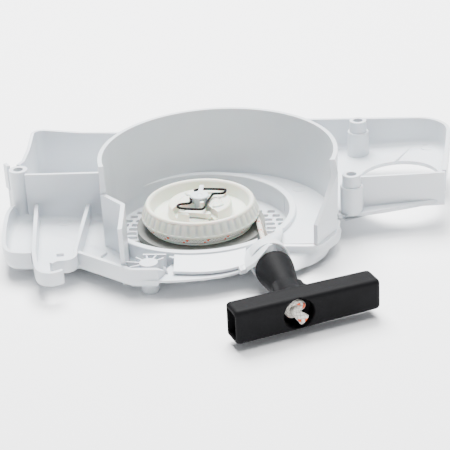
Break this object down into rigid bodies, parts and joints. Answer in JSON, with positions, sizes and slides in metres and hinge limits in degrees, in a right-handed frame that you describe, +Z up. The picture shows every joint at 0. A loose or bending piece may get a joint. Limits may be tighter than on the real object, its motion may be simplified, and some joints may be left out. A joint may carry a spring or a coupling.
{
  "type": "recoil starter",
  "caption": "Moulded fan housing with a rope pulley, rewind spring, pawl and T-shaped pull handle that spins a small engine to start it.",
  "frame": {"origin": "on the pulley axis, in the flat underside of the housing", "axes": "+Z up along the pulley axis, out of the open side of the housing; +X along the long side of the housing, away from the rear tray; -Y towards the side where the rope leaves"},
  "size_m": [0.2901, 0.2541, 0.0635],
  "materials": {
    "housing_plastic": "satin white moulding",
    "milky_nylon": "translucent natural nylon",
    "braided_rope": "braided cord, white with orange flecks",
    "black_plastic": "fine-grained matte black",
    "spring_steel": "oiled spring strip",
    "black_wire": "blackened spring wire",
    "eyelet_metal": "polished eyelet"
  },
  "bodies": {
    "housing": {"intake_grille": "housing_plastic", "well_ring": "housing_plastic", "fan_shroud_wall": "housing_plastic", "shroud_front_wall": "housing_plastic", "low_guard_wall": "housing_plastic", "shroud_deck": "housing_plastic", "lower_skin": "housing_plastic", "rear_box_wall": "housing_plastic", "rear_box_floor": "housing_plastic", "rear_mid_wall": "housing_plastic", "rear_screw_boss": "housing_plastic", "tray_outer_wall": "housing_plastic", "tray_floor": "housing_plastic", "catch_rib": "housing_plastic", "catch_finger": "housing_plastic", "catch_floor": "housing_plastic", "tray_front_wall": "housing_plastic", "guard_boss": "housing_plastic", "apron_panel": "housing_plastic", "front_lip": "housing_plastic", "outlet_collar": "housing_plastic", "rope_bush": "eyelet_metal", "bay_floor": "housing_plastic", "bay_outer_wall": "housing_plastic", "bay_mid_wall": "housing_plastic", "bay_boss_rear": "housing_plastic", "bay_boss_front": "housing_plastic", "centre_post": "housing_plastic", "post_cap": "housing_plastic", "spring_cassette": "housing_plastic", "recoil_spring": "spring_steel", "rope_lead": "braided_rope"},
    "pulley": {"rope_pulley": "milky_nylon", "rope_winding": "braided_rope"},
    "pawl": {"pawl": "milky_nylon"},
    "clip": {"spring_clip": "black_wire"},
    "handle": {"pull_handle": "black_plastic", "rope_knot": "braided_rope"}
  },
  "joints": [
    {"name": "pulley_turn", "type": "hinge", "parent": "housing", "child": "pulley", "pos_m": [0, 0, 0.0184], "axis": [0, 0, -1], "range_deg": [0, 1440], "stiffness_Nm_per_rad": 0.01, "springref_deg": -572.96, "deforming": ["recoil_spring"]},
    {"name": "handle_pull", "type": "slide", "parent": "housing", "child": "handle", "axis": [0.2924, -0.9563, 0], "range_m": [0, 0.767], "deforming": ["rope_lead"]},
    {"name": "pawl_swing", "type": "hinge", "parent": "pulley", "child": "pawl", "pos_m": [-0.0096, -0.011, 0.0233], "axis": [0, 0, -1], "range_deg": [0, 22]},
    {"name": "clip_turn", "type": "hinge", "parent": "pulley", "child": "clip", "pos_m": [0, 0, 0.0283], "axis": [0, 0, 1], "range_deg": [0, 18]}
  ],
  "couplings": [
    {"joint": "handle_pull", "follows": "pulley_turn", "m_per_rad": 0.0305},
    {"joint": "clip_turn", "follows": "pawl_swing", "ratio": 0.8}
  ]
}
